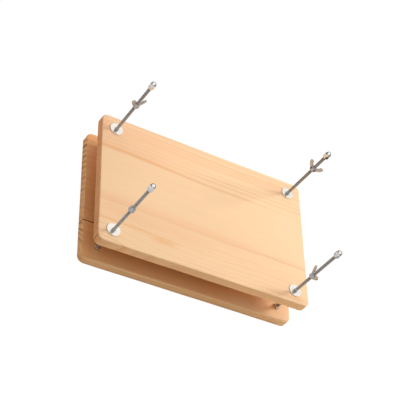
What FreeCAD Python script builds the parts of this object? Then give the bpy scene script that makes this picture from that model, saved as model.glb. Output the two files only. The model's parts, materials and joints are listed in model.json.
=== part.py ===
import FreeCAD, Part
import os
import Sketcher

# A bookbinding press: two boards on four long bolts. The lower board carries the bolts, which are
# held in it by a recessed head and washer below and a hex nut above. The upper board slides on the
# bolts and is pressed down by a wing nut on each, over a wide washer. A cap nut ends each bolt.
# Frame: +X along the boards, +Y from the front to the back, +Z up, in millimetres. The origin is
# the centre of the lower board's underside, which is what the press stands on.

SIZES = [
    ("board_length", 415, "both boards, along X"),
    ("board_depth", 270, "both boards, along Y"),
    ("board_thickness", 18, "both boards"),
    ("board_corner_radius", 12, "upright corners of a board"),
    ("board_edge_round", 2.5, "rounding of a board's upper and lower edges"),
    ("open_gap", 40.5, "between the boards as the press stands open"),
    ("hole_inset_x", 28, "from a board's end to its hole centres"),
    ("hole_inset_y", 26.5, "from a board's long side to its hole centres"),
    ("bolt_diameter", 6, "over the thread"),
    ("bolt_length", 200, "under the head"),
    ("bolt_tip_chamfer", 0.8, "at the bolt's end"),
    ("fixed_hole_clearance", 0.3, "radial, bolt in the lower board"),
    ("slide_hole_clearance", 0.5, "radial, bolt in the upper board"),
    ("head_across_flats", 10, "hex head of a bolt"),
    ("head_height", 4, "hex head of a bolt"),
    ("recess_depth", 8, "under the lower board, for washer and head"),
    ("recess_clearance", 1, "radial, washer in its recess"),
    ("base_washer_diameter", 18, "washer between head and board"),
    ("base_washer_thickness", 1.6, "washer between head and board"),
    ("clamp_nut_across_flats", 10, "hex nut on the lower board"),
    ("clamp_nut_height", 5, "hex nut on the lower board"),
    ("top_washer_diameter", 25, "wide washer on the upper board"),
    ("top_washer_thickness", 1.5, "wide washer on the upper board"),
    ("washer_clearance", 0.3, "radial, bolt in a washer"),
    ("washer_edge_break", 0.2, "chamfer of a washer's rims"),
    ("thread_clearance", 0.05, "radial, bolt in a nut"),
    ("wing_nut_height", 17, "to the tips of the wings"),
    ("wing_span", 30, "over the tips of the wings"),
    ("wing_thickness", 2.4, "of each wing"),
    ("wing_width", 7.4, "of each wing along its top"),
    ("wing_drop", 8.5, "from a wing's top to its outer lower corner"),
    ("wing_flare", 1.2, "a wing's top beyond its outer lower corner"),
    ("wing_foot", 1, "lower edge of a wing at the barrel"),
    ("wing_neck", 7, "upper edge of a wing at the barrel"),
    ("wing_tip_round", 2.8, "corners of a wing"),
    ("boss_base_diameter", 12, "barrel of a wing nut, at its seat"),
    ("boss_top_diameter", 10, "barrel of a wing nut, at its top"),
    ("boss_height", 8, "barrel of a wing nut"),
    ("cap_across_flats", 10, "hex of a cap nut"),
    ("cap_hex_height", 8, "hex of a cap nut"),
    ("cap_height", 14.5, "a whole cap nut"),
    ("cap_dome_diameter", 9.5, "dome of a cap nut"),
    ("cap_bore_depth", 11, "blind hole of a cap nut"),
    ("cap_grip", 10, "bolt inside a cap nut"),
    ("hex_corner_slope", 0.577, "rise over run of the chamfer on hex corners"),
]

# Each corner of the press: its side in X and Y, how far up its free thread the wing nut stands
# (0 on the washer, 1 under the cap nut) and the way that its wings point, in degrees about Z.
CORNERS = {
    "front_left": (-1, -1, 0.574, 58),
    "front_right": (1, -1, 0.475, 90),
    "back_left": (-1, 1, 0.653, 25),
    "back_right": (1, 1, 0.771, -35),
}

# In millimetres: how far the tool that turns off a hexagon's corners reaches past them, how deep
# a wing starts inside its barrel, the flat left at a dome's top so that its rounding closes, and
# the cone at the end of a blind hole.
HEX_OVERCUT = 1.0
HIDDEN_ROOT = 0.5
DOME_FLAT = 0.05
DRILL_CONE = 0.5
# Lengths and volumes under these count as nothing.
SAME_PLACE = 1e-4
LEAST_CUT = 1e-3

document = FreeCAD.newDocument("BookbindingPress")
sheet = document.addObject("Spreadsheet::Sheet", "Sizes")
for row, (alias, size, meaning) in enumerate(SIZES, start=1):
    sheet.set(f"A{row}", alias)
    sheet.set(f"B{row}", str(size))
    sheet.set(f"C{row}", meaning)
    sheet.setAlias(f"B{row}", alias)
for row, (corner, (_, _, share, turn)) in enumerate(CORNERS.items(), start=len(SIZES) + 1):
    sheet.set(f"A{row}", f"place of the wing nut, {corner}")
    sheet.set(f"B{row}", str(share))
    sheet.setAlias(f"B{row}", f"share_{corner}")
    sheet.set(f"C{row}", "of the free thread")
    sheet.set(f"D{row}", str(turn))
    sheet.setAlias(f"D{row}", f"turn_{corner}")

# Lengths and heights that several pieces share, worked out in the sheet.
DERIVED = [
    ("hole_x", "board_length / 2 - hole_inset_x"),
    ("hole_y", "board_depth / 2 - hole_inset_y"),
    ("bolt_radius", "bolt_diameter / 2"),
    ("nut_bore_radius", "bolt_diameter / 2 + thread_clearance"),
    ("seat_height", "recess_depth - base_washer_thickness"),
    ("upper_board_height", "board_thickness + open_gap"),
    ("upper_top_height", "upper_board_height + board_thickness"),
    ("washer_top_height", "upper_top_height + top_washer_thickness"),
    ("cap_base_height", "seat_height + bolt_length - cap_grip"),
    ("free_thread", "cap_base_height - washer_top_height - wing_nut_height"),
]
FIRST_DERIVED = len(SIZES) + len(CORNERS) + 1
for row, (alias, formula) in enumerate(DERIVED, start=FIRST_DERIVED):
    sheet.set(f"A{row}", alias)
    sheet.set(f"B{row}", f"={formula}")
    sheet.setAlias(f"B{row}", alias)
document.recompute()

NAMES = [alias for alias, *_ in SIZES + DERIVED]
NAMES += [f"{kind}_{corner}" for kind in ("share", "turn") for corner in CORNERS]


def sized(expression):
    """The expression with each size's name made a reference to its cell."""
    words = expression.split(" ")
    return " ".join(f"Sizes.{word}" if word in NAMES else word for word in words)


def new_body(label):
    body = document.addObject("PartDesign::Body", "Body_" + label)
    body.Label = label
    return body


def new_sketch(body, role, name):
    """A sketch on one of the body's own origin planes."""
    plane = next(f for f in body.Origin.OriginFeatures if f.Role == role)
    sketch = body.newObject("Sketcher::SketchObject", name)
    sketch.AttachmentSupport = [(plane, "")]
    sketch.MapMode = "FlatFace"
    return sketch


def bind_point(sketch, geometry, point, across, up):
    """Hold a point of the sketch at a distance from its origin given by two expressions."""
    for kind, expression in (("DistanceX", across), ("DistanceY", up)):
        index = sketch.addConstraint(Sketcher.Constraint(kind, -1, 1, geometry, point, 1.0))
        name = f"{kind}_{geometry}_{point}"
        sketch.renameConstraint(index, name)
        sketch.setExpression(f"Constraints.{name}", sized(expression))


def outline(sketch, corners):
    """A closed outline of straight edges. Each corner is a pair of expressions."""
    count = len(corners)
    start = [FreeCAD.Vector(i, i * i, 0) for i in range(count)]
    edges = [Part.LineSegment(start[i], start[(i + 1) % count]) for i in range(count)]
    sketch.addGeometry(edges, False)
    for i in range(count):
        sketch.addConstraint(Sketcher.Constraint("Coincident", i, 2, (i + 1) % count, 1))
    for i, (across, up) in enumerate(corners):
        bind_point(sketch, i, 1, across, up)


def circles(sketch, centres, radius):
    """A circle of one radius about each centre, all given by expressions."""
    for i, (across, up) in enumerate(centres):
        circle = Part.Circle(FreeCAD.Vector(i, i, 0), FreeCAD.Vector(0, 0, 1), 1)
        sketch.addGeometry(circle, False)
        bind_point(sketch, i, 3, across, up)
        index = sketch.addConstraint(Sketcher.Constraint("Radius", i, 1.0))
        sketch.renameConstraint(index, f"Radius_{i}")
        sketch.setExpression(f"Constraints.Radius_{i}", sized(radius))


def pad(body, sketch, name, length, both_ways=False):
    feature = body.newObject("PartDesign::Pad", name)
    feature.Profile = sketch
    feature.setExpression("Length", sized(length))
    feature.Midplane = both_ways
    document.recompute()
    return feature


def removed(feature, before):
    """Refuse a cut that took nothing away, as one that points off the solid does."""
    document.recompute()
    if feature.Shape.Volume > before - LEAST_CUT:
        raise RuntimeError(f"{feature.Label} cuts nothing")
    return feature


def pocket(body, sketch, name, depth=None):
    """Cut upwards from the sketch on the underside, through everything if no depth is given."""
    before = body.Shape.Volume
    feature = body.newObject("PartDesign::Pocket", name)
    feature.Profile = sketch
    feature.Reversed = True
    if depth is None:
        feature.Type = 1
    else:
        feature.setExpression("Length", sized(depth))
    return removed(feature, before)


def revolve(body, sketch, name):
    feature = body.newObject("PartDesign::Revolution", name)
    feature.Profile = sketch
    feature.ReferenceAxis = (sketch, ["V_Axis"])
    feature.Angle = 360
    document.recompute()
    return feature


def groove(body, sketch, name):
    before = body.Shape.Volume
    feature = body.newObject("PartDesign::Groove", name)
    feature.Profile = sketch
    feature.ReferenceAxis = (sketch, ["V_Axis"])
    feature.Angle = 360
    return removed(feature, before)


def fillet(body, base, name, radius, chosen):
    """Round those edges of the base feature for which chosen says yes."""
    edges = [f"Edge{i}" for i, edge in enumerate(base.Shape.Edges, start=1) if chosen(edge)]
    if not edges:
        raise RuntimeError(f"{name} of {body.Label} finds no edge")
    feature = body.newObject("PartDesign::Fillet", name)
    feature.Base = (base, edges)
    feature.setExpression("Radius", sized(radius))
    document.recompute()
    return feature


def size(alias):
    return float(sheet.get(alias))


def level(edge, height):
    """Whether an edge lies flat at this height."""
    box = edge.BoundBox
    return abs(box.ZMin - height) < SAME_PLACE and abs(box.ZMax - height) < SAME_PLACE


def upright(edge):
    box = edge.BoundBox
    return box.XLength < SAME_PLACE and box.YLength < SAME_PLACE


def crosses_wing(edge):
    box = edge.BoundBox
    return box.XLength < SAME_PLACE and box.ZLength < SAME_PLACE


def place(body, across, along, height, turn=None):
    body.setExpression("Placement.Base.x", sized(across))
    body.setExpression("Placement.Base.y", sized(along))
    body.setExpression("Placement.Base.z", sized(height))
    if turn:
        body.setExpression("Placement.Rotation.Angle", sized(turn))


def hole_centres():
    return [(f"{x} * hole_x", f"{y} * hole_y") for x, y, _, _ in CORNERS.values()]


def make_board(label, hole_radius):
    """A board with rounded corners and edges and a hole for each bolt."""
    body = new_body(label)
    rectangle = new_sketch(body, "XY_Plane", label + "_outline")
    long, deep = "board_length / 2", "board_depth / 2"
    signs = [("-", "-"), ("", "-"), ("", ""), ("-", "")]
    outline(rectangle, [(f"{a}1 * {long}", f"{b}1 * {deep}") for a, b in signs])
    slab = pad(body, rectangle, label + "_slab", "board_thickness")
    rounded = fillet(body, slab, label + "_corners", "board_corner_radius", upright)
    top = size("board_thickness")
    soft = fillet(
        body,
        rounded,
        label + "_edges",
        "board_edge_round",
        lambda edge: level(edge, 0) or level(edge, top),
    )
    body.Tip = soft
    holes = new_sketch(body, "XY_Plane", label + "_hole_centres")
    circles(holes, hole_centres(), hole_radius)
    pocket(body, holes, label + "_holes")
    return body


def make_lower_board():
    body = make_board("lower_board", "bolt_radius + fixed_hole_clearance")
    recesses = new_sketch(body, "XY_Plane", "recess_centres")
    circles(recesses, hole_centres(), "base_washer_diameter / 2 + recess_clearance")
    pocket(body, recesses, "recesses", "recess_depth")
    return body


def make_upper_board():
    body = make_board("upper_board", "bolt_radius + slide_hole_clearance")
    place(body, "0", "0", "upper_board_height")
    return body


def make_washer(label, diameter, thickness):
    """A flat washer with its rims broken, seated at its own origin."""
    body = new_body(label)
    profile = new_sketch(body, "XZ_Plane", label + "_profile")
    inner, outer = "bolt_radius + washer_clearance", f"{diameter} / 2"
    corners = [
        (inner, "0"),
        (f"{outer} - washer_edge_break", "0"),
        (outer, "washer_edge_break"),
        (outer, f"{thickness} - washer_edge_break"),
        (f"{outer} - washer_edge_break", thickness),
        (inner, thickness),
    ]
    outline(profile, corners)
    revolve(body, profile, label + "_ring")
    return body


def add_hex(body, name, flats, height):
    """A hex prism that stands on the body's origin."""
    prism = body.newObject("PartDesign::AdditivePrism", name)
    prism.Polygon = 6
    prism.setExpression("Circumradius", sized(f"{flats} / sqrt(3)"))
    prism.setExpression("Height", sized(height))
    document.recompute()
    return prism


def chamfer_hex(body, name, flats, face, sense):
    """Turn the hex corners off at a face: sense 1 cuts upwards from it, -1 downwards."""
    profile = new_sketch(body, "XZ_Plane", name + "_profile")
    flat_radius = f"{flats} / 2"
    reach = f"{flats} / sqrt(3) + {HEX_OVERCUT}"
    rise = f"( {reach} - {flat_radius} ) * hex_corner_slope"
    corners = [
        (flat_radius, face),
        (reach, face),
        (reach, f"{face} + {sense} * {rise}"),
    ]
    outline(profile, corners)
    groove(body, profile, name)


def make_bolt(label):
    """A bolt standing on its hex head, its thread taken as a plain shank."""
    body = new_body(label)
    add_hex(body, label + "_head", "head_across_flats", "head_height")
    shank = new_sketch(body, "XZ_Plane", label + "_shank_profile")
    end = "head_height + bolt_length"
    corners = [
        ("0", "head_height / 2"),
        ("bolt_radius", "head_height / 2"),
        ("bolt_radius", f"{end} - bolt_tip_chamfer"),
        ("bolt_radius - bolt_tip_chamfer", end),
        ("0", end),
    ]
    outline(shank, corners)
    revolve(body, shank, label + "_shank")
    chamfer_hex(body, label + "_head_chamfer", "head_across_flats", "0", 1)
    return body


def make_clamp_nut(label):
    body = new_body(label)
    add_hex(body, label + "_hex", "clamp_nut_across_flats", "clamp_nut_height")
    bore = new_sketch(body, "XY_Plane", label + "_bore_circle")
    circles(bore, [("0", "0")], "nut_bore_radius")
    pocket(body, bore, label + "_bore")
    chamfer_hex(body, label + "_lower", "clamp_nut_across_flats", "0", 1)
    chamfer_hex(body, label + "_upper", "clamp_nut_across_flats", "clamp_nut_height", -1)
    return body


def make_cap_nut(label):
    """A hex nut closed by a round dome, open below."""
    body = new_body(label)
    add_hex(body, label + "_hex", "cap_across_flats", "cap_hex_height")
    chamfer_hex(body, label + "_lower", "cap_across_flats", "0", 1)
    chamfer_hex(body, label + "_upper", "cap_across_flats", "cap_hex_height", -1)
    column = new_sketch(body, "XZ_Plane", label + "_dome_profile")
    corners = [
        ("0", "cap_hex_height / 2"),
        ("cap_dome_diameter / 2", "cap_hex_height / 2"),
        ("cap_dome_diameter / 2", "cap_height"),
        ("0", "cap_height"),
    ]
    outline(column, corners)
    stub = revolve(body, column, label + "_stub")
    top = size("cap_height")
    dome = fillet(
        body,
        stub,
        label + "_dome",
        f"cap_dome_diameter / 2 - {DOME_FLAT}",
        lambda edge: level(edge, top),
    )
    body.Tip = dome
    bore = new_sketch(body, "XZ_Plane", label + "_bore_profile")
    corners = [
        ("0", "0"),
        ("nut_bore_radius", "0"),
        ("nut_bore_radius", f"cap_bore_depth - {DRILL_CONE}"),
        ("0", "cap_bore_depth"),
    ]
    outline(bore, corners)
    groove(body, bore, label + "_bore")
    return body


def make_wing_nut(label):
    """A tapered barrel with two rounded wings that rise and spread along its own X."""
    body = new_body(label)
    barrel = new_sketch(body, "XZ_Plane", label + "_barrel_profile")
    corners = [
        ("nut_bore_radius", "0"),
        ("boss_base_diameter / 2", "0"),
        ("boss_top_diameter / 2", "boss_height"),
        ("nut_bore_radius", "boss_height"),
    ]
    outline(barrel, corners)
    revolve(body, barrel, label + "_barrel")
    for side, name in ((1, "right"), (-1, "left")):
        wing = new_sketch(body, "XZ_Plane", f"{label}_{name}_outline")
        root = f"nut_bore_radius + {HIDDEN_ROOT}"
        corners = [
            (root, "wing_foot"),
            ("wing_span / 2 - wing_flare", "wing_nut_height - wing_drop"),
            ("wing_span / 2", "wing_nut_height"),
            ("wing_span / 2 - wing_width", "wing_nut_height"),
            (root, "wing_neck"),
        ]
        outline(wing, [(f"{side} * ( {across} )", up) for across, up in corners])
        blank = pad(body, wing, f"{label}_{name}_wing", "wing_thickness", both_ways=True)
    barrel_radius = size("boss_base_diameter") / 2
    body.Tip = fillet(
        body,
        blank,
        label + "_wing_corners",
        "wing_tip_round",
        lambda edge: crosses_wing(edge) and abs(edge.CenterOfMass.x) > barrel_radius,
    )
    return body


def make_pieces():
    """Every piece in its place, by its name."""
    pieces = {"lower_board": make_lower_board(), "upper_board": make_upper_board()}
    for corner, (x, y, _, _) in CORNERS.items():
        across, along = f"{x} * hole_x", f"{y} * hole_y"
        bolt = make_bolt("bolt_" + corner)
        place(bolt, across, along, "seat_height - head_height")
        base_washer = make_washer(
            "base_washer_" + corner, "base_washer_diameter", "base_washer_thickness"
        )
        place(base_washer, across, along, "seat_height")
        clamp_nut = make_clamp_nut("clamp_nut_" + corner)
        place(clamp_nut, across, along, "board_thickness")
        top_washer = make_washer(
            "top_washer_" + corner, "top_washer_diameter", "top_washer_thickness"
        )
        place(top_washer, across, along, "upper_top_height")
        wing_nut = make_wing_nut("wing_nut_" + corner)
        height = f"washer_top_height + share_{corner} * free_thread"
        place(wing_nut, across, along, height, f"turn_{corner}")
        cap_nut = make_cap_nut("cap_nut_" + corner)
        place(cap_nut, across, along, "cap_base_height")
        for piece in (bolt, base_washer, clamp_nut, top_washer, wing_nut, cap_nut):
            pieces[piece.Label] = piece
    return pieces


def check(pieces):
    """Stop before anything is written if an object failed or a piece isn't one good solid."""
    for item in document.Objects:
        if {"Invalid", "Error"} & set(item.State):
            raise RuntimeError(f"{item.Label} failed: {item.State}")
    for label, piece in pieces.items():
        shape = piece.Shape
        if shape.isNull() or not shape.isValid() or len(shape.Solids) != 1:
            raise RuntimeError(f"{label} isn't one valid solid")


pieces = make_pieces()
document.recompute()
check(pieces)
os.makedirs("parts", exist_ok=True)
for label, piece in pieces.items():
    piece.Shape.exportStep(f"parts/{label}.step")
print(f"{len(pieces)} pieces written")
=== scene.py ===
import json
import math
from collections import namedtuple

import bmesh
import bpy
from bpy.props import FloatProperty, FloatVectorProperty, IntProperty, PointerProperty
from mathutils import Matrix, Vector, noise


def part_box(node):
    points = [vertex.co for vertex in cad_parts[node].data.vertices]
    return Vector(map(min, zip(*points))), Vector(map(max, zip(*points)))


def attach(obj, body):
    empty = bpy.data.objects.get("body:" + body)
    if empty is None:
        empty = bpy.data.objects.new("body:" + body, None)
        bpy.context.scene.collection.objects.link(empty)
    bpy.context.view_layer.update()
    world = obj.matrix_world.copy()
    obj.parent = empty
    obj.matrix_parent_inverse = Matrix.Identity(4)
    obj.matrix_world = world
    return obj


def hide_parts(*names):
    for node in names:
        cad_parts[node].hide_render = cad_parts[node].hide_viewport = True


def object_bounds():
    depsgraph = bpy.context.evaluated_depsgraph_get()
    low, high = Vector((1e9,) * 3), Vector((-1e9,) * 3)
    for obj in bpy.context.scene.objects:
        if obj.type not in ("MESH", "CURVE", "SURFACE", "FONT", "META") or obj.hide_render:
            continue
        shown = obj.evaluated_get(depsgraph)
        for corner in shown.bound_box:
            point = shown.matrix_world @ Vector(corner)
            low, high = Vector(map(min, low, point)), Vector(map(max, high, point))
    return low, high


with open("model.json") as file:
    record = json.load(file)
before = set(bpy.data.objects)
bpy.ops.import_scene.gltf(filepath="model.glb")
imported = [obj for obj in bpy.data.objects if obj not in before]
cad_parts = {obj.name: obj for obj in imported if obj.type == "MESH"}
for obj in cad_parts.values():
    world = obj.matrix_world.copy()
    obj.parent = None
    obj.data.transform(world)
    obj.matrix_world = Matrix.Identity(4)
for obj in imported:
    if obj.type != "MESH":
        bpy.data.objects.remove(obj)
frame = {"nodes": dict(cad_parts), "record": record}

# The looks of a bookbinding press: two pine boards on four threaded bolts, with wide washers and
# wing nuts that press the upper board down, and cap nuts on the bolt ends. Everything is in
# metres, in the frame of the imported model: +X along the boards, +Y to the back, +Z up.

bl_info = {
    "name": "Bookbinding press",
    "version": (1, 0, 0),
    "blender": (4, 5, 0),
    "location": "View3D > Sidebar > Press",
    "description": "Builds the boards, bolts, nuts and washers of a bookbinding press",
    "category": "Object",
}

CAD_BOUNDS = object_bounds()
MM = 0.001
CORNERS = ("front_left", "front_right", "back_left", "back_right")
BASE = "base"
UPPER = "upper_board"


Size = namedtuple("Size", "across along low high width")


def measured(node):
    """A node's centre along X and Y, its lowest and highest points, and its width along Y."""
    low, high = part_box(node)
    return Size((low.x + high.x) / 2, (low.y + high.y) / 2, low.z, high.z, high.y - low.y)


LOWER_LOW, LOWER_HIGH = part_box("lower_board")
UPPER_LOW, UPPER_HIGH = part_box("upper_board")
WASHER = measured("top_washer_front_left")
BASE_WASHER = measured("base_washer_front_left")
CAP_NUT = measured("cap_nut_front_left")
CLAMP_NUT = measured("clamp_nut_front_left")
# Left above each clamp nut when the upper board comes down to it.
CLEAR_OF_BOARD = 0.05 * MM
# Left round a bolt in its nuts, and in its wing nut.
NUT_CLEARANCE = 0.06 * MM
WING_CLEARANCE = 0.14 * MM
# Points closer than this are one point, and heights closer than the second are one height.
SAME_PLACE = 1e-7
SAME_HEIGHT = 1e-6


# ---------------------------------------------------------------- settings

def length(name, description, default, **limits):
    """A length in metres."""
    return FloatProperty(name=name, description=description, default=default,
                         subtype="DISTANCE", unit="LENGTH", **limits)


def turn(name, description, degrees):
    """An angle, given here in degrees."""
    return FloatProperty(name=name, description=description, default=math.radians(degrees),
                         subtype="ANGLE", unit="ROTATION")


def colour(name, description, default, **limits):
    """A colour or a coloured brightness."""
    return FloatVectorProperty(name=name, description=description, default=default,
                               size=3, subtype="COLOR", min=0, **limits)


class BoardSettings(bpy.types.PropertyGroup):
    corner_radius: length("Corner radius", "Upright corners of both boards", 12 * MM, min=MM)
    edge_radius: length(
        "Edge radius", "Sanded rounding of the upper and lower edges",
        2.5 * MM, min=0.5 * MM)
    edge_unevenness: FloatProperty(
        name="Edge unevenness", description="How much hand sanding varies that rounding",
        default=0.16, min=0, max=0.5, subtype="FACTOR")
    fixed_hole: length("Lower board hole", "Radius of the bolt holes in the lower board", 3.3 * MM)
    slide_hole: length("Upper board hole", "Radius of the bolt holes in the upper board", 3.5 * MM)
    recess_radius: length(
        "Recess radius", "Recess under the lower board for each bolt head",
        10 * MM)
    recess_depth: length("Recess depth", "Depth of that recess", 8 * MM)
    glue_line: length(
        "Glue line", "Where the two staves of the lower board meet, along Y",
        -59 * MM)
    glue_gap: length("Glue line width", "Open width of that joint at the surface", 2.1 * MM)
    early_wood: colour("Early wood", "Pale body of the pine", (0.87, 0.60, 0.366), max=1)
    late_wood: colour(
        "Late wood", "Darker line that ends each year's growth",
        (0.71, 0.395, 0.206), max=1)
    heart_wood: colour("Pink streaks", "Pinkish streaks of the pine", (0.87, 0.52, 0.309), max=1)
    # The resin colour also paints shade at the left end of the lower board.
    resin: colour(
        "Resin", "Orange lines where the pine is full of resin",
        (0.80, 0.385, 0.145), max=1)
    edge_wood: colour(
        "Long edges", "Front and back edges of the boards",
        (0.96, 0.645, 0.375), max=1)
    end_grain: colour(
        "End grain", "Darker tone where the boards are cut across",
        (0.84, 0.44, 0.22), max=1)
    stave_edge_wood: colour(
        "Long edges, staves", "Front and back edges of the lower board",
        (1.0, 0.70, 0.40), max=1)
    stave_end_grain: colour(
        "End grain, staves", "The lower board's wood where it is cut across",
        (1.0, 0.63, 0.345), max=1)
    end_rings: colour(
        "End grain rings", "Growth rings where the boards are cut across",
        (0.53, 0.235, 0.10), max=1)


class HardwareSettings(bpy.types.PropertyGroup):
    bolt_radius: length("Bolt radius", "Over the crests of the thread", 2.98 * MM)
    thread_pitch: length("Thread pitch", "Rise of the thread in one turn", 1.0 * MM, min=0.2 * MM)
    thread_depth: length("Thread depth", "From crest to root", 0.5 * MM)
    turn_segments: IntProperty(
        name="Thread segments", description="Faces around one turn of thread",
        default=18, min=8, max=48)
    head_height: length("Head height", "Hex head of a bolt", 4 * MM)
    cap_hex_height: length("Cap nut hex", "Height of the hex part of a cap nut", 8 * MM)
    dome_radius: length("Dome radius", "Round end of a cap nut", 4.75 * MM)
    wing_thickness: length("Wing thickness", "Each wing of a wing nut", 2.2 * MM)
    cast_detail: length(
        "Cast detail", "Size of the facets that shape a wing nut",
        0.3 * MM, min=0.1 * MM)
    washer_hole: length("Washer hole", "Radius of the hole in every washer", 3.3 * MM)


class StageSettings(bpy.types.PropertyGroup):
    floor_colour: colour("Floor", "Pale floor under the press", (0.95, 0.78, 0.60), max=1)
    mirrored_floor: colour(
        "Mirrored floor", "Colour of the lit floor as polished metal shows it",
        (0.66, 0.64, 0.61), max=1)
    mirrored_shade: colour(
        "Mirrored shade", "The same, on the dim side behind the press",
        (0.10, 0.095, 0.09), max=1)
    floor_size: length("Floor size", "Length of the floor's side", 24.0)
    key_azimuth: turn("Key azimuth", "Direction of the main light about Z, from +X to +Y", 22)
    key_elevation: turn("Key elevation", "Height of the main light over the floor", 33)
    key_power: FloatProperty(
        name="Key power", description="Main light, in watts", default=38.0, min=0)
    key_distance: length("Key distance", "From the press to the main light", 2.4)
    key_size: length("Key size", "Side of the main light's panel", 0.65)
    sky_lean: FloatProperty(
        name="Sky lean", description="How much brighter the studio is on its bright side",
        default=0.62, min=0)
    sky_lean_azimuth: turn("Bright side", "Direction of that side about Z, from +X to +Y", 48)
    zenith: colour(
        "Light from above", "Colour and brightness of the studio overhead",
        (1.11, 1.08, 1.03))
    front_panel: FloatProperty(
        name="Front panel", description="Soft panel beside the camera that metal reflects",
        default=1.15, min=0)
    horizon: colour(
        "Light from around", "Colour and brightness of the studio's walls",
        (0.10, 0.07, 0.05))
    view_azimuth: turn("Camera azimuth", "Direction of the camera about Z, from -Y to +X", -34.97)
    view_elevation: turn("Camera elevation", "Height of the camera over the horizon", 41.85)
    view_roll: turn("Camera roll", "How far the camera is turned about its own axis", 44.66)
    view_distance: length("Camera distance", "From the camera to the point it looks at", 2.109)
    view_field: turn("Field of view", "Angle that the picture's width covers", 19.53)


# ---------------------------------------------------------------- meshes

def finish_mesh(name, bm, sharp_degrees=35):
    """Turn a bmesh into an object with smooth shading that breaks at sharp edges."""
    bmesh.ops.recalc_face_normals(bm, faces=bm.faces)
    mesh = bpy.data.meshes.new(name)
    bm.to_mesh(mesh)
    bm.free()
    for polygon in mesh.polygons:
        polygon.use_smooth = True
    mesh.set_sharp_from_angle(angle=math.radians(sharp_degrees))
    piece = bpy.data.objects.new(name, mesh)
    bpy.context.scene.collection.objects.link(piece)
    return piece


def bridge(bm, lower, upper):
    """Quads between two rings of as many points."""
    count = len(lower)
    for i in range(count):
        j = (i + 1) % count
        bm.faces.new((lower[i], lower[j], upper[j], upper[i]))


def skin(bm, rings):
    """Quads all along a row of rings."""
    for lower, upper in zip(rings, rings[1:]):
        bridge(bm, lower, upper)


def capped(bm, rings):
    """The same, closed by a face at each end."""
    skin(bm, rings)
    bm.faces.new(rings[0])
    bm.faces.new(rings[-1])


def ring(bm, radius, height, count, centre=(0, 0)):
    """A ring of points. The radius may be a number or a function of the angle."""
    points = []
    for i in range(count):
        angle = 2 * math.pi * i / count
        reach = radius(angle) if callable(radius) else radius
        across = centre[0] + reach * math.cos(angle)
        along = centre[1] + reach * math.sin(angle)
        points.append(bm.verts.new((across, along, height)))
    return points


def turned(name, profile, count, hole=True):
    """A turned piece: its profile is a list of (radius, height), closed around a bore if hole."""
    bm = bmesh.new()
    rings = [ring(bm, radius, height, count) for radius, height in profile]
    if hole:
        skin(bm, rings + rings[:1])
    else:
        capped(bm, rings)
    return finish_mesh(name, bm)


def arc(centre, radius, start, end, steps):
    """Points (across, up) on an arc, its angles in degrees from +X."""
    points = []
    for i in range(steps + 1):
        angle = math.radians(start + (end - start) * i / steps)
        points.append((centre[0] + radius * math.cos(angle), centre[1] + radius * math.sin(angle)))
    return points


def board_outline(half_x, half_y, radius, corner_steps=10, side_step=12 * MM):
    """Points of a rounded rectangle, each with its outward normal."""
    points = []
    for quarter, (side_x, side_y) in enumerate(((1, 1), (-1, 1), (-1, -1), (1, -1))):
        centre = Vector((side_x * (half_x - radius), side_y * (half_y - radius), 0))
        for i in range(corner_steps + 1):
            angle = math.radians(90 * (quarter + i / corner_steps))
            normal = Vector((math.cos(angle), math.sin(angle), 0))
            points.append((centre + radius * normal, normal))
        straight = 2 * (half_x if quarter % 2 == 0 else half_y) - 2 * radius
        count = int(straight / side_step)
        start, normal = points[-1]
        direction = Vector((-normal.y, normal.x, 0))
        for i in range(1, count):
            points.append((start + direction * straight * i / count, normal))
    return points


WANDER_SCALE = 18
HOLE_POINTS = 40
EDGE_STEPS = 6


def board_mesh(bm, low, high, hole_profile, seed):
    """A board with rounded edges. The hole profile is a list of (radius, height above its face)."""
    settings = bpy.context.scene.press_boards
    half_x, half_y = (high.x - low.x) / 2, (high.y - low.y) / 2
    outline = board_outline(half_x, half_y, settings.corner_radius)
    rows = []
    for upward, face in ((False, low.z), (True, high.z)):
        for step in range(EDGE_STEPS + 1):
            share = step / EDGE_STEPS
            angle = math.pi / 2 * (share if upward else 1 - share)
            row = []
            for point, normal in outline:
                wander = noise.noise(point * WANDER_SCALE + Vector((seed, 0, face * 50)))
                radius = settings.edge_radius * (1 + settings.edge_unevenness * 2 * wander)
                inset = radius * (1 - math.cos(angle))
                drop = radius * (1 - math.sin(angle))
                height = face - drop if upward else face + drop
                spot = point - normal * inset
                row.append(bm.verts.new((spot.x, spot.y, height)))
            rows.append(row)
    skin(bm, rows)
    rims = {"low": [rows[0]], "high": [rows[-1]]}
    for corner in CORNERS:
        bolt = measured("bolt_" + corner)
        rings = [ring(bm, radius, height, HOLE_POINTS, (bolt.across, bolt.along))
                 for radius, height in hole_profile]
        skin(bm, rings)
        rims["low"].append(rings[0])
        rims["high"].append(rings[-1])
    for loops in rims.values():
        edges = []
        for loop in loops:
            for i, vertex in enumerate(loop):
                edges.append(bm.edges.get((vertex, loop[(i + 1) % len(loop)])))
        bmesh.ops.triangle_fill(bm, use_beauty=True, use_dissolve=False, edges=edges)


def cut_stave(bm, along, keep_front):
    """Keep the part of a board in front of a plane across Y, or behind it, and close the cut."""
    geometry = bm.verts[:] + bm.edges[:] + bm.faces[:]
    cut = bmesh.ops.bisect_plane(
        bm, geom=geometry, dist=SAME_PLACE, plane_co=(0, along, 0), plane_no=(0, 1, 0),
        clear_outer=keep_front, clear_inner=not keep_front)
    edges = [item for item in cut["geom_cut"] if isinstance(item, bmesh.types.BMEdge)]
    bmesh.ops.triangle_fill(bm, use_beauty=True, use_dissolve=False, edges=edges)


def hex_radius(flats):
    """The reach of a hexagon as a function of the angle, with corners on +X and -X."""
    def reach(angle):
        within = (angle % (math.pi / 3)) - math.pi / 6
        return flats / 2 / math.cos(within)
    return reach


def chamfered(flats, reach_at):
    """A hexagon turned down to a radius where that is less."""
    hexagon = hex_radius(flats)
    return lambda angle: min(hexagon(angle), reach_at)


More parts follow.
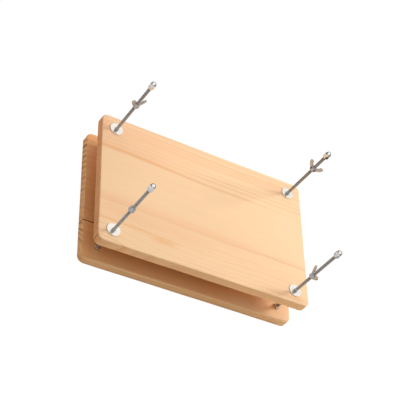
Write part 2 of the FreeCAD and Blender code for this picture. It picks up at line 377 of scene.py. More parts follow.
HEX_STEPS = 7
HEX_COUNT = 96
WASHER_COUNT = 72
BARREL_COUNT = 48
# The flat face of a nut or head reaches this far, as a share of the way to its sides.
HEX_SEAT = 0.97


def hex_rows(flats, low, high, chamfer_high=True):
    """Rings (radius, height) of a hex whose corners are turned off at 30 degrees."""
    corner = flats / math.sqrt(3)
    seat = flats / 2 * HEX_SEAT
    chamfer = []
    for i in range(HEX_STEPS + 1):
        reach = seat + (corner - seat) * i / HEX_STEPS
        chamfer.append((chamfered(flats, reach), (reach - seat) * math.tan(math.pi / 6)))
    rows = [(radius, low + rise) for radius, rise in chamfer]
    if chamfer_high:
        rows += [(radius, high - drop) for radius, drop in reversed(chamfer)]
    else:
        rows.append((hex_radius(flats), high))
    return rows


# Half the crest of the thread, and where its root starts and ends, as shares of the pitch.
HALF_CREST = 0.14
ROOT_START = 0.42
ROOT_END = 0.58


def thread_rows(bm, low, high):
    """A screw thread between two heights, closed at both ends."""
    settings = bpy.context.scene.press_hardware
    count, pitch = settings.turn_segments, settings.thread_pitch
    crest = settings.bolt_radius
    root = crest - settings.thread_depth
    band = [(crest, -HALF_CREST), (crest, HALF_CREST), (root, ROOT_START), (root, ROOT_END)]
    turns = int((high - low) / pitch) + 2
    columns = []
    for i in range(turns * count + 1):
        angle = 2 * math.pi * i / count
        base = low + pitch * (i / count - 1)
        column = []
        for radius, share in band:
            height = min(max(base + share * pitch, low), high)
            spot = (radius * math.cos(angle), radius * math.sin(angle), height)
            column.append(bm.verts.new(spot))
        columns.append(column)
    for i in range(turns * count):
        here, there = columns[i], columns[i + 1]
        for j in range(3):
            bm.faces.new((here[j], there[j], there[j + 1], here[j + 1]))
        if i + count + 1 <= turns * count:
            above, beyond = columns[i + count], columns[i + count + 1]
            bm.faces.new((here[3], there[3], beyond[0], above[0]))
    bmesh.ops.remove_doubles(bm, verts=bm.verts, dist=SAME_PLACE)
    flat = [face for face in bm.faces if any(
        all(abs(vertex.co.z - end) < SAME_HEIGHT for vertex in face.verts) for end in (low, high))]
    bmesh.ops.delete(bm, geom=flat, context="FACES")
    loose = [edge for edge in bm.edges if not edge.link_faces]
    bmesh.ops.delete(bm, geom=loose, context="EDGES")
    loose = [vertex for vertex in bm.verts if not vertex.link_edges]
    bmesh.ops.delete(bm, geom=loose, context="VERTS")
    rim = [edge for edge in bm.edges if edge.is_boundary]
    bmesh.ops.holes_fill(bm, edges=rim, sides=0)


# ---------------------------------------------------------------- shader helpers

class Shader:
    """Places nodes in a tree and joins them."""

    def __init__(self, tree):
        self.tree = tree
        self.column = 0

    def add(self, kind, inputs=None, **settings):
        node = self.tree.nodes.new(kind)
        node.location = (self.column * 180, -40 * (self.column % 5))
        self.column += 1
        for name, value in settings.items():
            setattr(node, name, value)
        for name, value in (inputs or {}).items():
            self.feed(node.inputs[name], value)
        return node

    def feed(self, socket, value):
        if isinstance(value, bpy.types.NodeSocket):
            self.tree.links.new(value, socket)
        elif isinstance(value, bpy.types.Node):
            self.tree.links.new(value.outputs[0], socket)
        else:
            socket.default_value = value

    def math(self, operation, first, second=0.0, clamp=False):
        node = self.add("ShaderNodeMath", {0: first, 1: second}, operation=operation,
                        use_clamp=clamp)
        return node.outputs[0]

    def times(self, first, second, clamp=False):
        return self.math("MULTIPLY", first, second, clamp)

    def plus(self, first, second, clamp=False):
        return self.math("ADD", first, second, clamp)

    def minus(self, first, second):
        return self.math("SUBTRACT", first, second)

    def bell(self, share):
        """1 where the share is 0, and smoothly less to either side."""
        return self.math("POWER", math.e, self.times(self.times(share, share), -1.0))

    def vector(self, operation, first, second=None):
        node = self.add("ShaderNodeVectorMath", {0: first}, operation=operation)
        if second is not None:
            self.feed(node.inputs[1], second)
        return node.outputs["Value" if operation in ("LENGTH", "DOT_PRODUCT") else "Vector"]

    def mix(self, factor, first, second):
        node = self.add("ShaderNodeMix", data_type="RGBA")
        for number, value in ((0, factor), (6, first), (7, second)):
            self.feed(node.inputs[number], value)
        return node.outputs[2]

    def band(self, value, low, high):
        """0 below low, 1 above high, smooth between."""
        node = self.add("ShaderNodeMapRange", interpolation_type="SMOOTHSTEP")
        for name, number in (("Value", value), ("From Min", low), ("From Max", high)):
            self.feed(node.inputs[name], number)
        return node.outputs[0]

    def stretched(self, vector, scale, **inputs):
        """Noise drawn out by a different scale on each axis."""
        mapping = self.add("ShaderNodeMapping", {"Vector": vector, "Scale": scale})
        return self.add("ShaderNodeTexNoise",
                        {"Vector": mapping, "Scale": 1.0, **inputs}).outputs[0]


VALUE = "NodeSocketFloat"
VECTOR = "NodeSocketVector"


def new_group(name, inputs, outputs):
    """A shader node group with its sockets, and the helper, input and output nodes to fill it.

    An input is given with its default: a number, three numbers, or None for a bare vector."""
    group = bpy.data.node_groups.new(name, "ShaderNodeTree")
    for label, value in inputs.items():
        kind = VALUE if isinstance(value, float) else VECTOR
        socket = group.interface.new_socket(label, in_out="INPUT", socket_type=kind)
        if value is not None:
            socket.default_value = value
    for label, kind in outputs.items():
        group.interface.new_socket(label, in_out="OUTPUT", socket_type=kind)
    shader = Shader(group)
    return group, shader, shader.add("NodeGroupInput"), shader.add("NodeGroupOutput")


def new_material(name):
    """A material with a Principled BSDF, and the helper to fill it."""
    material = bpy.data.materials.new(name)
    material.use_nodes = True
    shader = Shader(material.node_tree)
    return material, shader, material.node_tree.nodes["Principled BSDF"]


# Scales of the pine's noises, along the grain and across it, in waves per metre.
BENDS = (3.4, 9, 9)
FADES = (5, 14, 14)
STREAKS = (2.2, 42, 42)
FIBRES = (22, 900, 900)
TONES = (3.0, 9, 9)
# How far the bends move the figure, and how much longer a knot is along the grain.
BEND_REACH = (0, 16 * MM, 12 * MM)
KNOT_SQUEEZE = (0.55, 1, 1)
# Share of the growth rings that the plain middle of a wide face keeps.
PLAIN_SHARE = 0.12


def pine_figure():
    """Growth rings about the tree's pith, resin streaks and fibres, in the board's own space."""
    group, s, given, result = new_group(
        "Pine figure",
        {"Vector": None, "Pith": (0, 0, 0), "Lean": 0.0, "Ring Width": 9 * MM,
         "First Ring": 60 * MM, "Plain From": -50 * MM, "Plain To": 50 * MM,
         "Front Rings": 1.0, "Knot": (0, 0, 0), "Knot Size": 30 * MM, "Knot Push": 0.0,
         "Seed": 0.0},
        {"Rings": VALUE, "Face Rings": VALUE, "Streaks": VALUE, "Fibres": VALUE,
         "Tone": VALUE, "Wander": VECTOR})
    place = given.outputs["Vector"]
    seed = s.add("ShaderNodeCombineXYZ", {"X": given.outputs["Seed"]})
    shifted = s.vector("ADD", place, seed)
    wander = s.add("ShaderNodeTexNoise", {
        "Vector": s.add("ShaderNodeMapping", {"Vector": shifted, "Scale": BENDS}),
        "Scale": 1.0, "Detail": 2.0, "Roughness": 0.4})
    centred = s.vector("SUBTRACT", wander.outputs[1], (0.5, 0.5, 0.5))
    bent = s.vector("MULTIPLY", centred, BEND_REACH)
    split = s.add("ShaderNodeSeparateXYZ", {0: place})
    lean = s.add("ShaderNodeCombineXYZ",
                 {"Y": s.times(split.outputs[0], given.outputs["Lean"])})
    moved = s.vector("ADD", s.vector("ADD", place, bent), lean)
    s.feed(result.inputs["Wander"], moved)
    off_pith = s.vector("SUBTRACT", moved, given.outputs["Pith"])
    radius = s.vector("LENGTH", s.vector("MULTIPLY", off_pith, (0, 1, 1)))
    off_knot = s.vector("SUBTRACT", place, given.outputs["Knot"])
    reach = s.vector("LENGTH", s.vector("MULTIPLY", off_knot, KNOT_SQUEEZE))
    bulge = s.bell(s.math("DIVIDE", reach, given.outputs["Knot Size"]))
    radius = s.plus(radius, s.times(bulge, given.outputs["Knot Push"]))
    grown = s.minus(radius, given.outputs["First Ring"])
    years = s.plus(s.math("DIVIDE", grown, given.outputs["Ring Width"]), 20.0)
    uneven = s.add("ShaderNodeTexNoise", {"W": years, "Scale": 0.6, "Detail": 0.0},
                   noise_dimensions="1D").outputs[0]
    years = s.plus(years, s.times(s.minus(uneven, 0.5), 0.5))
    season = s.math("FRACT", years)
    line = s.times(s.math("POWER", s.band(season, 0.1, 0.9), 2.0),
                  s.band(season, 1.0, 0.86))
    strength = s.add("ShaderNodeTexNoise", {"W": s.math("FLOOR", years), "Scale": 3.7,
                                            "Detail": 0.0}, noise_dimensions="1D").outputs[0]
    fading = s.stretched(shifted, FADES, Detail=1.0)
    strength = s.times(s.plus(s.band(strength, 0.2, 0.75), 0.35),
                      s.plus(fading, 0.35))
    line = s.times(line, strength, clamp=True)
    s.feed(result.inputs["Rings"], line)
    across = s.add("ShaderNodeSeparateXYZ", {0: moved}).outputs[1]
    behind = s.band(across, s.minus(given.outputs["Plain To"], 8 * MM),
                    given.outputs["Plain To"])
    before = s.band(across, s.plus(given.outputs["Plain From"], 10 * MM),
                    given.outputs["Plain From"])
    outer = s.math("MAXIMUM", behind, s.times(before, given.outputs["Front Rings"]))
    outer = s.math("MAXIMUM", outer, bulge)
    shown = s.plus(s.times(outer, 1 - PLAIN_SHARE), PLAIN_SHARE)
    s.feed(result.inputs["Face Rings"], s.times(line, shown))
    streak = s.stretched(shifted, STREAKS, Detail=3.0, Roughness=0.55)
    s.feed(result.inputs["Streaks"], s.times(s.band(streak, 0.46, 0.70), shown))
    fibres = s.stretched(shifted, FIBRES, Detail=4.0, Roughness=0.65)
    s.feed(result.inputs["Fibres"], fibres)
    tone = s.stretched(shifted, TONES, Detail=2.0, Roughness=0.5)
    s.feed(result.inputs["Tone"], tone)
    return group


def resin_stripe():
    """A soft stripe along the grain: full between two places along X, gone past them."""
    group, s, given, result = new_group(
        "Resin stripe",
        {"Vector": None, "Centre": 0.0, "Half Width": 4 * MM, "From": -1.0, "To": 1.0,
         "Fade": 50 * MM},
        {"Mask": VALUE})
    split = s.add("ShaderNodeSeparateXYZ", {0: given.outputs["Vector"]})
    away = s.math("ABSOLUTE", s.minus(split.outputs[1], given.outputs["Centre"]))
    wide = s.bell(s.math("DIVIDE", away, given.outputs["Half Width"]))
    start, stop, fade = (given.outputs[name] for name in ("From", "To", "Fade"))
    enters = s.band(split.outputs[0], s.minus(start, fade), start)
    leaves = s.band(split.outputs[0], s.plus(stop, fade), stop)
    s.feed(result.inputs["Mask"], s.times(wide, s.times(enters, leaves)))
    return group


def surface_scuffs():
    """Fine handling marks: a mask of scratches and a slow variation in polish."""
    group, s, given, result = new_group(
        "Surface scuffs",
        {"Vector": None}, {"Scratches": VALUE, "Polish": VALUE})
    place = given.outputs["Vector"]
    fine = s.stretched(place, (90, 900, 500), Detail=3.0, Roughness=0.6)
    s.feed(result.inputs["Scratches"], s.band(fine, 0.6, 0.75))
    slow = s.add("ShaderNodeTexNoise", {"Vector": place, "Scale": 260.0, "Detail": 3.0})
    s.feed(result.inputs["Polish"], slow.outputs[0])
    return group


def groups():
    """The node groups, built once."""
    found = bpy.data.node_groups
    if "Pine figure" not in found:
        pine_figure()
        resin_stripe()
        surface_scuffs()
    return found["Pine figure"], found["Resin stripe"], found["Surface scuffs"]


# Depth of the fibres and of the growth rings in the sanded surface.
FIBRE_DEPTH = 0.06 * MM
RING_DEPTH = 0.04 * MM
# From where to where a surface turns from a wide face to an edge, by its normal.
EDGE_TURN = (0.35, 0.9)


def pine(name, figure_values, stripes, tint=(1, 1, 1), edge="edge_wood", end="end_grain"):
    """Sanded pine with the grain along X, darker and duller where it is cut across.

    A stripe is (colour setting, strength, centre, half width, from, to, fade). The tint is for
    the wide faces alone."""
    settings = bpy.context.scene.press_boards
    figure_group, stripe_group, _ = groups()
    material, s, bsdf = new_material(name)
    place = s.add("ShaderNodeTexCoord").outputs["Object"]
    figure = s.add("ShaderNodeGroup", node_tree=figure_group)
    s.feed(figure.inputs["Vector"], place)
    for label, value in figure_values.items():
        s.feed(figure.inputs[label], value)

    def plain(label):
        return [*getattr(settings, label), 1]

    def tinted(label):
        return [c * t for c, t in zip(plain(label), (*tint, 1))]

    facing = s.add("ShaderNodeSeparateXYZ", {0: s.add("ShaderNodeTexCoord").outputs["Normal"]})
    across = s.band(s.math("ABSOLUTE", facing.outputs[0]), *EDGE_TURN)
    side = s.band(s.math("ABSOLUTE", facing.outputs[1]), *EDGE_TURN)
    # The tint darkens the wide faces; on the lower board it is painted shade between the boards.
    body = s.mix(s.times(figure.outputs["Streaks"], 0.45), tinted("early_wood"),
                 tinted("heart_wood"))
    body = s.mix(s.times(figure.outputs["Face Rings"], 0.52), body,
                 tinted("late_wood"))
    for label, strength, centre, half, start, stop, fade in stripes:
        stripe = s.add("ShaderNodeGroup", {
            "Vector": figure.outputs["Wander"], "Centre": centre, "Half Width": half,
            "From": start, "To": stop, "Fade": fade}, node_tree=stripe_group)
        body = s.mix(s.times(stripe.outputs[0], strength), body, plain(label))
    body = s.mix(s.times(side, 0.85), body,
                 s.mix(s.times(figure.outputs["Rings"], 0.5),
                       plain(edge), plain("late_wood")))
    patches = s.plus(s.band(figure.outputs["Tone"], 0.38, 0.62), 0.2)
    darker = s.times(figure.outputs["Rings"], patches)
    cut = s.mix(s.times(darker, 1.05, clamp=True), plain(end), plain("end_rings"))
    body = s.mix(s.times(across, 0.92), body, cut)
    fibre_shade = s.plus(s.times(figure.outputs["Fibres"], 0.16), 0.92)
    tone_shade = s.plus(s.times(figure.outputs["Tone"], 0.12), 0.94)
    shade = s.times(fibre_shade, tone_shade)
    shade_colour = s.add("ShaderNodeCombineColor", {0: shade, 1: shade, 2: shade})
    lit = s.add("ShaderNodeMix", data_type="RGBA", blend_type="MULTIPLY")
    s.feed(lit.inputs[0], 1.0)
    s.feed(lit.inputs[6], body)
    s.feed(lit.inputs[7], shade_colour)
    s.feed(bsdf.inputs["Base Color"], lit.outputs[2])
    rough = s.plus(s.times(figure.outputs["Fibres"], 0.18), 0.45)
    s.feed(bsdf.inputs["Roughness"], s.plus(rough, s.times(across, 0.15)))
    height = s.plus(s.times(figure.outputs["Fibres"], FIBRE_DEPTH),
                    s.times(figure.outputs["Rings"], RING_DEPTH))
    bump = s.add("ShaderNodeBump", {"Height": height, "Strength": 0.5, "Distance": 1.0})
    s.feed(bsdf.inputs["Normal"], bump.outputs[0])
    bsdf.inputs["Specular IOR Level"].default_value = 0.3
    return material


# Depth of the marks in the steel, and the step from one turned line to the next.
SCRATCH_DEPTH = 0.012 * MM
TURNED_STEP = 0.35 * MM
# Brightness that is left where the plating is dulled.
WORN = 0.72


def steel(name, colour, roughness, dull, turned_lines=0.0):
    """Plated steel with handling marks and, on turned pieces, rings about the axis."""
    _, _, scuff_group = groups()
    material, s, bsdf = new_material(name)
    place = s.add("ShaderNodeTexCoord").outputs["Object"]
    scuffs = s.add("ShaderNodeGroup", node_tree=scuff_group)
    s.feed(scuffs.inputs["Vector"], place)
    scratches, polish = scuffs.outputs["Scratches"], scuffs.outputs["Polish"]
    worn = [c * WORN for c in colour] + [1]
    tone = s.mix(s.times(s.band(polish, 0.45, 0.75), dull), [*colour, 1], worn)
    s.feed(bsdf.inputs["Base Color"], tone)
    rough = s.plus(roughness, s.times(polish, dull * 0.5))
    s.feed(bsdf.inputs["Roughness"], s.plus(rough, s.times(scratches, 0.12)))
    bsdf.inputs["Metallic"].default_value = 1.0
    height = s.times(scratches, -SCRATCH_DEPTH)
    if turned_lines:
        reach = s.vector("LENGTH", s.vector("MULTIPLY", place, (1, 1, 0)))
        lines = s.math("SINE", s.times(reach, 2 * math.pi / TURNED_STEP))
        height = s.plus(height, s.times(lines, turned_lines))
    bump = s.add("ShaderNodeBump", {"Height": height, "Strength": 0.7, "Distance": 1.0})
    s.feed(bsdf.inputs["Normal"], bump.outputs[0])
    return material


# Each stripe: colour setting, strength, centre and half width along Y, from and to along X, fade.
HEART_STRIPES = (
    ("resin", 0.68, 62 * MM, 4.6 * MM, -0.30, -0.130, 0.14),
    ("late_wood", 0.50, 60 * MM, 2.4 * MM, -0.30, 0.040, 0.14),
    ("late_wood", 0.42, -53.5 * MM, 2.6 * MM, -0.30, 0.30, 0.02),
    ("heart_wood", 0.70, -48 * MM, 9 * MM, -0.30, 0.000, 0.15),
    ("heart_wood", 0.60, -72 * MM, 13 * MM, -0.30, -0.060, 0.14),
    ("heart_wood", 0.75, 98 * MM, 34 * MM, -0.30, -0.140, 0.20),
    ("resin", 0.50, -92 * MM, 2.6 * MM, -0.30, -0.125, 0.03),
    ("resin", 0.50, -97 * MM, 7 * MM, -0.092, -0.080, 0.03),
    ("late_wood", 0.60, 104.5 * MM, 2.0 * MM, -0.30, -0.190, 0.02),
    ("heart_wood", 0.70, 110 * MM, 9 * MM, 0.090, 0.150, 0.05),
    ("late_wood", 0.40, -123 * MM, 6 * MM, 0.140, 0.180, 0.04),
)
STAVE_STRIPES = (
    ("end_grain", 0.75, 61 * MM, 8 * MM, -0.30, 0.30, 0.02),
    ("heart_wood", 0.60, 96 * MM, 6 * MM, -0.30, 0.30, 0.02),
    ("resin", 0.50, 2 * MM, 4 * MM, -0.30, 0.30, 0.02),
    ("end_grain", 0.50, -12 * MM, 9 * MM, -0.30, 0.30, 0.02),
    ("end_grain", 0.45, -80 * MM, 6 * MM, -0.30, 0.30, 0.02),
    # Painted shade: the resin colour over the whole width darkens the left end of the lower board's
    # top, under the upper board.
    ("resin", 0.40, -20 * MM, 400 * MM, -0.30, -0.191, 0.012),
    # Painted light: untinted early wood at the right front of the lower board's top, where the key
    # light reaches under the upper board.
    ("early_wood", 0.90, -120 * MM, 40 * MM, 0.11, 0.30, 0.06),
)
# Painted shade: this tint darkens and saturates the wide faces of the lower board, standing for the
# shade between the boards.
STAVE_SHADE_TINT = (0.96, 0.85, 0.69)


def dried_glue():
    """Dark hardened glue and dust in the joint of the lower board."""
    material, s, bsdf = new_material("dried glue")
    place = s.add("ShaderNodeTexCoord").outputs["Object"]
    grains = s.add("ShaderNodeTexNoise", {"Vector": place, "Scale": 700.0, "Detail": 4.0})
    s.feed(bsdf.inputs["Base Color"],
           s.mix(grains.outputs[0], (0.12, 0.040, 0.012, 1), (0.22, 0.080, 0.026, 1)))
    s.feed(bsdf.inputs["Roughness"], s.plus(grains.outputs[0], 0.3, clamp=True))
    bump = s.add("ShaderNodeBump", {"Height": grains.outputs[0], "Strength": 0.4,
                                    "Distance": 0.0002})
    s.feed(bsdf.inputs["Normal"], bump.outputs[0])
    return material


def dress(piece, body, slot, material, *nodes):
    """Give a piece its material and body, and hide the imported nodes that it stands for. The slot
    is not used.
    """
    piece.data.materials.append(material)
    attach(piece, body)
    if nodes:
        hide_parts(*nodes)


def stand(piece, node, body, slot, material):
    """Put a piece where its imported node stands, and dress it."""
    size = measured(node)
    piece.location = (size.across, size.along, size.low)
    dress(piece, body, slot, material, node)


def aimed(azimuth, elevation=0.0):
    """The direction at an azimuth, from +X to +Y, and an elevation over the horizon."""
    return Vector((math.cos(azimuth) * math.cos(elevation),
                   math.sin(azimuth) * math.cos(elevation), math.sin(elevation)))


# ---------------------------------------------------------------- operators

class PRESS_OT_boards(bpy.types.Operator):
    """Add both boards, the lower one of two glued staves"""
    bl_idname = "press.boards"
    bl_label = "Boards"

    def execute(self, context):
        settings = context.scene.press_boards
        rim = 0.3 * MM
        top = UPPER_HIGH.z
        bottom = UPPER_LOW.z
        hole = settings.slide_hole
        through = [(hole + rim, bottom), (hole, bottom + rim), (hole, top - rim),
                   (hole + rim, top)]
        bm = bmesh.new()
        board_mesh(bm, UPPER_LOW, UPPER_HIGH, through, 3)
        upper = finish_mesh("pine_board_upper", bm)
        grain = pine("pine, heart board", {
            "Pith": (0, 12 * MM, 42.5 * MM), "Lean": 0.015, "Ring Width": 9 * MM,
            "First Ring": 60.5 * MM, "Plain From": -50 * MM, "Plain To": 60 * MM,
            "Front Rings": 0.35, "Knot": (-0.202, -0.138, 0.070), "Knot Size": 45 * MM,
            "Knot Push": 34 * MM,
        }, HEART_STRIPES)
        dress(upper, UPPER, "pine", grain, "upper_board")

        hole, recess = settings.fixed_hole, settings.recess_radius
        roof = LOWER_LOW.z + settings.recess_depth
        stepped = [(recess + rim, LOWER_LOW.z), (recess, LOWER_LOW.z + rim), (recess, roof),
                   (hole, roof), (hole, LOWER_HIGH.z - rim), (hole + rim, LOWER_HIGH.z)]
        half = settings.glue_gap / 2
        staves = (
            ("pine_stave_front", True, settings.glue_line - half, {
                "Pith": (0, -0.160, -0.060), "Ring Width": 9 * MM, "Seed": 7.0}),
            ("pine_stave_back", False, settings.glue_line + half, {
                "Pith": (0, -0.130, -0.055), "Ring Width": 11 * MM, "Seed": 13.0}),
        )
        everywhere = {"Plain From": 1.0, "Plain To": 1.0}
        for name, in_front, along, figure in staves:
            bm = bmesh.new()
            board_mesh(bm, LOWER_LOW, LOWER_HIGH, stepped, 11)
            cut_stave(bm, along, in_front)
            stave = finish_mesh(name, bm)
            # The staves' wide faces get the painted shade tint.
            grain = pine(name.replace("_", " "), {**figure, **everywhere}, STAVE_STRIPES,
                         STAVE_SHADE_TINT, "stave_edge_wood", "stave_end_grain")
            dress(stave, BASE, "pine", grain, "lower_board")
        return {"FINISHED"}


class PRESS_OT_glue(bpy.types.Operator):
    """Add the dark glue that shows, set back a little, between the lower board's staves"""
    bl_idname = "press.glue"
    bl_label = "Glue line"

    def execute(self, context):
        settings = context.scene.press_boards
        back = 0.08 * MM
        radius = settings.edge_radius
        half_x = (LOWER_HIGH.x - LOWER_LOW.x) / 2 - back
        half_z = (LOWER_HIGH.z - LOWER_LOW.z) / 2 - back
        middle = (LOWER_HIGH.z + LOWER_LOW.z) / 2
        section = []
        for quarter, (side_x, side_z) in enumerate(((1, 1), (-1, 1), (-1, -1), (1, -1))):
            centre = (side_x * (half_x - radius), middle + side_z * (half_z - radius))
            section += arc(centre, radius, 90 * quarter, 90 * quarter + 90, 6)
        bm = bmesh.new()
        rows = []
        for side in (-1, 1):
            along = settings.glue_line + side * settings.glue_gap / 2
            rows.append([bm.verts.new((x, along, z)) for x, z in section])
        capped(bm, rows)
        glue = finish_mesh("glue_line_lower", bm)
        dress(glue, BASE, "pine", dried_glue())
        return {"FINISHED"}


class PRESS_OT_bolts(bpy.types.Operator):
    """Add the four bolts, with a cut thread and a recessed hex head"""
    bl_idname = "press.bolts"
    bl_label = "Bolts"

    def execute(self, context):
        settings = context.scene.press_hardware
        shank = steel("zinc-plated thread", (0.42, 0.412, 0.40), 0.20, 0.25)
        sunk_in_head, short_of_tip = 0.5 * MM, 0.1 * MM
        head_top = settings.head_height
        for corner in CORNERS:
            size = measured("bolt_" + corner)
            bm = bmesh.new()
            thread_rows(bm, head_top - sunk_in_head, size.high - size.low - short_of_tip)
            rows = hex_rows(size.width, 0.0, head_top, chamfer_high=False)
            capped(bm, [ring(bm, radius, height, HEX_COUNT) for radius, height in rows])
            bolt = finish_mesh("threaded_bolt_" + corner, bm)
            stand(bolt, "bolt_" + corner, BASE, "threaded_steel", shank)
        return {"FINISHED"}


class PRESS_OT_washers(bpy.types.Operator):
    """Add the wide washers on the upper board and the washers under the bolt heads"""
    bl_idname = "press.washers"
    bl_label = "Washers"

    def execute(self, context):
        hole = context.scene.press_hardware.washer_hole
        plate = steel("turned washer plate", (0.88, 0.85, 0.81), 0.20, 0.25, 0.004 * MM)
        kinds = (("top_washer_", "penny_washer_", WASHER, UPPER),
                 ("base_washer_", "head_washer_", BASE_WASHER, BASE))
        for node_name, piece_name, size, body in kinds:
            radius, thickness, soft = size.width / 2, size.high - size.low, 0.35 * MM
            rim = arc((radius - soft, soft), soft, -90, 0, 4)
            rim += arc((radius - soft, thickness - soft), soft, 0, 90, 4)
            bore = arc((hole + soft, thickness - soft), soft, 90, 180, 3)
            bore += arc((hole + soft, soft), soft, 180, 270, 3)
            for corner in CORNERS:
                washer = turned(piece_name + corner, rim + bore, WASHER_COUNT)
                stand(washer, node_name + corner, body, "washer_steel", plate)
        return {"FINISHED"}


class PRESS_OT_clamp_nuts(bpy.types.Operator):
    """Add the hex nuts that hold the bolts in the lower board"""
    bl_idname = "press.clamp_nuts"
    bl_label = "Clamp nuts"

    def execute(self, context):
        settings = context.scene.press_hardware
        plate = steel("zinc-plated nut", (0.66, 0.65, 0.64), 0.16, 0.3)
        height = CLAMP_NUT.high - CLAMP_NUT.low - CLEAR_OF_BOARD
        bore = settings.bolt_radius + NUT_CLEARANCE
        mouth = 0.45 * MM
        rows = hex_rows(CLAMP_NUT.width, 0.0, height)
        rows += [(bore + mouth, height), (bore, height - mouth), (bore, mouth),
                 (bore + mouth, 0.0)]
        for corner in CORNERS:
            nut = turned("hex_nut_" + corner, rows, HEX_COUNT)
            stand(nut, "clamp_nut_" + corner, BASE, "nut_steel", plate)
        return {"FINISHED"}


class PRESS_OT_cap_nuts(bpy.types.Operator):
    """Add the domed cap nuts that end the bolts"""
    bl_idname = "press.cap_nuts"
    bl_label = "Cap nuts"

    def execute(self, context):
        settings = context.scene.press_hardware
        chrome = steel("polished nickel", (0.80, 0.82, 0.85), 0.13, 0.1)
        height = CAP_NUT.high - CAP_NUT.low
        dome = settings.dome_radius
        bore = settings.bolt_radius + NUT_CLEARANCE
        neck, mouth = dome - 0.1 * MM, 0.5 * MM
        rows = [(bore, mouth), (bore + mouth, 0.0)]
        rows += hex_rows(CAP_NUT.width, 0.0, settings.cap_hex_height)
        rows += [(neck, settings.cap_hex_height + 0.12 * MM)]
        rows += arc((0, height - dome), dome, 0, 88, 14)
        for corner in CORNERS:
            nut = turned("acorn_nut_" + corner, rows, HEX_COUNT, hole=False)
            stand(nut, "cap_nut_" + corner, BASE, "polished_steel", chrome)
        return {"FINISHED"}


class PRESS_OT_wing_nuts(bpy.types.Operator):
    """Add the four wing nuts where they stand along the bolts"""
    bl_idname = "press.wing_nuts"
    bl_label = "Wing nuts"

    def execute(self, context):
        nickel = steel("cast nickel plate", (0.54, 0.575, 0.63), 0.36, 0.3)
        for corner in CORNERS:
            node = "wing_nut_" + corner
            size = measured(node)
            body = next(name for name, nodes in frame["record"]["behaviour"]["bodies"].items()
                        if node in nodes)
            nut = self.cast("butterfly_nut_" + corner, size.high - size.low)
            nut.rotation_euler.z = wing_angle(node)
            stand(nut, node, body, "wing_steel", nickel)
        return {"FINISHED"}

    def cast(self, name, height):
        """Barrel and wings as one casting, with soft fillets where they meet."""
        settings = bpy.context.scene.press_hardware
        bm = bmesh.new()
        bore = settings.bolt_radius + WING_CLEARANCE
        barrel_height = 8 * MM
        profile = [(bore, 0.0), (5.75 * MM, 0.0), (5.95 * MM, 0.6 * MM), (5.4 * MM, 4 * MM),
                   (5.0 * MM, barrel_height - 0.5 * MM), (4.6 * MM, barrel_height),
                   (bore, barrel_height)]
        rings = [ring(bm, radius, level, BARREL_COUNT) for radius, level in profile]
        skin(bm, rings + rings[:1])
        half = settings.wing_thickness / 2
        tip_radius = 3.3 * MM
        tip = (11.7 * MM, height - tip_radius - 0.05 * MM)
        outline = [(3.9 * MM, 1.0 * MM), (6.0 * MM, 1.6 * MM), (9.0 * MM, 4.2 * MM)]
        outline += [(12.0 * MM, 7.6 * MM), (14.2 * MM, 10.8 * MM)]
        outline += arc(tip, tip_radius, -25, 160, 14)
        outline += [(6.8 * MM, 11.2 * MM), (5.4 * MM, 9.0 * MM), (3.9 * MM, 7.8 * MM)]
        for side in (1, -1):
            faces = []
            for depth in (-half, half):
                faces.append([bm.verts.new((side * x, depth, z)) for x, z in outline])
            capped(bm, faces)
        piece = finish_mesh(name, bm)
        remesh = piece.modifiers.new("casting", "REMESH")
        remesh.mode = "VOXEL"
        remesh.voxel_size = settings.cast_detail
        smooth = piece.modifiers.new("fettling", "SMOOTH")
        smooth.factor = 0.5
        smooth.iterations = 5
        depsgraph = bpy.context.evaluated_depsgraph_get()
        cast = bpy.data.meshes.new_from_object(piece.evaluated_get(depsgraph))
        piece.modifiers.clear()
        piece.data = cast
        for polygon in cast.polygons:
            polygon.use_smooth = True
        return piece


def wing_angle(node):
    """The way the wings of a wing nut point about Z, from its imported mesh's highest points."""
    size = measured(node)
    total = Vector((0, 0))
    for vertex in frame["nodes"][node].data.vertices:
        if vertex.co.z > size.high - MM:
            x, y = vertex.co.x - size.across, vertex.co.y - size.along
            total += Vector((x * x - y * y, 2 * x * y))
    return math.atan2(total.y, total.x) / 2


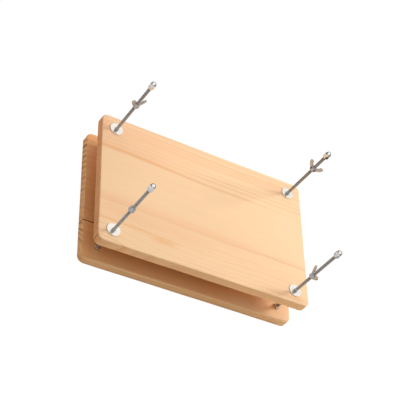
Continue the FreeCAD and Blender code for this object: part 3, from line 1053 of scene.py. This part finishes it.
class PRESS_OT_stage(bpy.types.Operator):
    """Add the pale floor, the lights and the camera"""
    bl_idname = "press.stage"
    bl_label = "Stage"

    def execute(self, context):
        settings = context.scene.press_stage
        self.floor(settings)
        self.lights(context, settings)
        self.camera(context, settings)
        context.scene.view_settings.view_transform = "Standard"
        return {"FINISHED"}

    def floor(self, settings):
        bm = bmesh.new()
        bmesh.ops.create_grid(bm, x_segments=8, y_segments=8, size=settings.floor_size / 2)
        floor = finish_mesh("floor", bm)
        floor.location.z = CAD_BOUNDS[0][2] - 0.05 * MM
        material, s, bsdf = new_material("pale floor")
        bsdf.inputs["Base Color"].default_value = (*settings.floor_colour, 1)
        bsdf.inputs["Roughness"].default_value = 0.9
        bsdf.inputs["Specular IOR Level"].default_value = 0.0
        glow = s.add("ShaderNodeEmission", {"Color": (1, 1, 1, 1), "Strength": 1.03})
        place = s.add("ShaderNodeTexCoord").outputs["Object"]
        toward = s.vector("DOT_PRODUCT", place, aimed(settings.view_azimuth + math.pi / 2))
        behind = s.band(toward, -0.16, 0.10)
        dim = s.add("ShaderNodeEmission", {
            "Color": s.mix(behind, (*settings.mirrored_floor, 1), (*settings.mirrored_shade, 1))})
        path = s.add("ShaderNodeLightPath")
        share = s.times(path.outputs["Is Camera Ray"], 0.96)
        mirrored = s.add("ShaderNodeMixShader", {0: path.outputs["Is Glossy Ray"],
                                                 1: bsdf.outputs[0], 2: dim.outputs[0]})
        mixed = s.add("ShaderNodeMixShader", {0: share, 1: mirrored.outputs[0],
                                              2: glow.outputs[0]})
        output = material.node_tree.nodes["Material Output"]
        s.feed(output.inputs["Surface"], mixed.outputs[0])
        floor.data.materials.append(material)

    def lights(self, context, settings):
        toward = aimed(settings.key_azimuth, settings.key_elevation)
        lamp = bpy.data.lights.new("key panel", "AREA")
        lamp.energy = settings.key_power
        lamp.size = settings.key_size
        lamp.color = (1.0, 0.985, 0.96)
        key = bpy.data.objects.new("key panel", lamp)
        key.location = toward * settings.key_distance
        key.rotation_euler = toward.to_track_quat("Z", "Y").to_euler()
        # The metal mirrors the studio, not this panel.
        key.visible_glossy = False
        context.scene.collection.objects.link(key)
        world = bpy.data.worlds.new("studio")
        world.use_nodes = True
        context.scene.world = world
        s = Shader(world.node_tree)
        sky = world.node_tree.nodes["Background"]
        direction = s.add("ShaderNodeTexCoord").outputs["Generated"]
        height = s.add("ShaderNodeSeparateXYZ", {0: direction}).outputs["Z"]
        toward = s.vector("DOT_PRODUCT", direction, aimed(settings.sky_lean_azimuth))
        leaning = s.plus(height, s.times(toward, settings.sky_lean))
        path = s.add("ShaderNodeLightPath")
        soft = s.band(leaning, 0.1, 0.9)
        ahead = s.vector("DOT_PRODUCT", direction, aimed(settings.view_azimuth - math.pi / 2))
        panel = s.times(s.band(ahead, 0.82, 0.94), settings.front_panel)
        crisp = s.math("MAXIMUM", s.band(height, 0.18, 0.62), panel)
        lift = s.add("ShaderNodeMix", {0: path.outputs["Is Glossy Ray"], 2: soft, 3: crisp})
        tone = s.mix(lift.outputs[0], (*settings.horizon, 1), (*settings.zenith, 1))
        s.feed(sky.inputs["Color"], s.mix(path.outputs["Is Camera Ray"], tone, (1, 1, 1, 1)))

    def camera(self, context, settings):
        back = aimed(settings.view_azimuth - math.pi / 2, settings.view_elevation)
        aim = Vector((3.5 * MM, 6.4 * MM, UPPER_HIGH.z))
        lens = bpy.data.cameras.new("camera")
        lens.angle = settings.view_field
        lens.clip_start = 0.05
        camera = bpy.data.objects.new("camera", lens)
        upright = back.to_track_quat("Z", "Y").to_matrix().to_4x4()
        rolled = upright @ Matrix.Rotation(settings.view_roll, 4, "Z")
        camera.matrix_world = Matrix.Translation(aim + back * settings.view_distance) @ rolled
        context.scene.collection.objects.link(camera)
        context.scene.camera = camera


OPERATORS = (PRESS_OT_boards, PRESS_OT_glue, PRESS_OT_bolts, PRESS_OT_washers,
             PRESS_OT_clamp_nuts, PRESS_OT_cap_nuts, PRESS_OT_wing_nuts, PRESS_OT_stage)


class PRESS_PT_panel(bpy.types.Panel):
    bl_idname = "PRESS_PT_panel"
    bl_label = "Bookbinding press"
    bl_space_type = "VIEW_3D"
    bl_region_type = "UI"
    bl_category = "Press"

    def draw(self, context):
        for operator in OPERATORS:
            self.layout.operator(operator.bl_idname)


SETTINGS = (("press_boards", BoardSettings), ("press_hardware", HardwareSettings),
            ("press_stage", StageSettings))


def register():
    for name, settings in SETTINGS:
        bpy.utils.register_class(settings)
        setattr(bpy.types.Scene, name, PointerProperty(type=settings))
    for operator in OPERATORS:
        bpy.utils.register_class(operator)
    bpy.utils.register_class(PRESS_PT_panel)


def unregister():
    bpy.utils.unregister_class(PRESS_PT_panel)
    for operator in reversed(OPERATORS):
        bpy.utils.unregister_class(operator)
    for name, settings in reversed(SETTINGS):
        delattr(bpy.types.Scene, name)
        bpy.utils.unregister_class(settings)


def main():
    register()
    for operator in OPERATORS:
        family, name = operator.bl_idname.split(".")
        getattr(getattr(bpy.ops, family), name)()


if __name__ == "__main__":
    main()
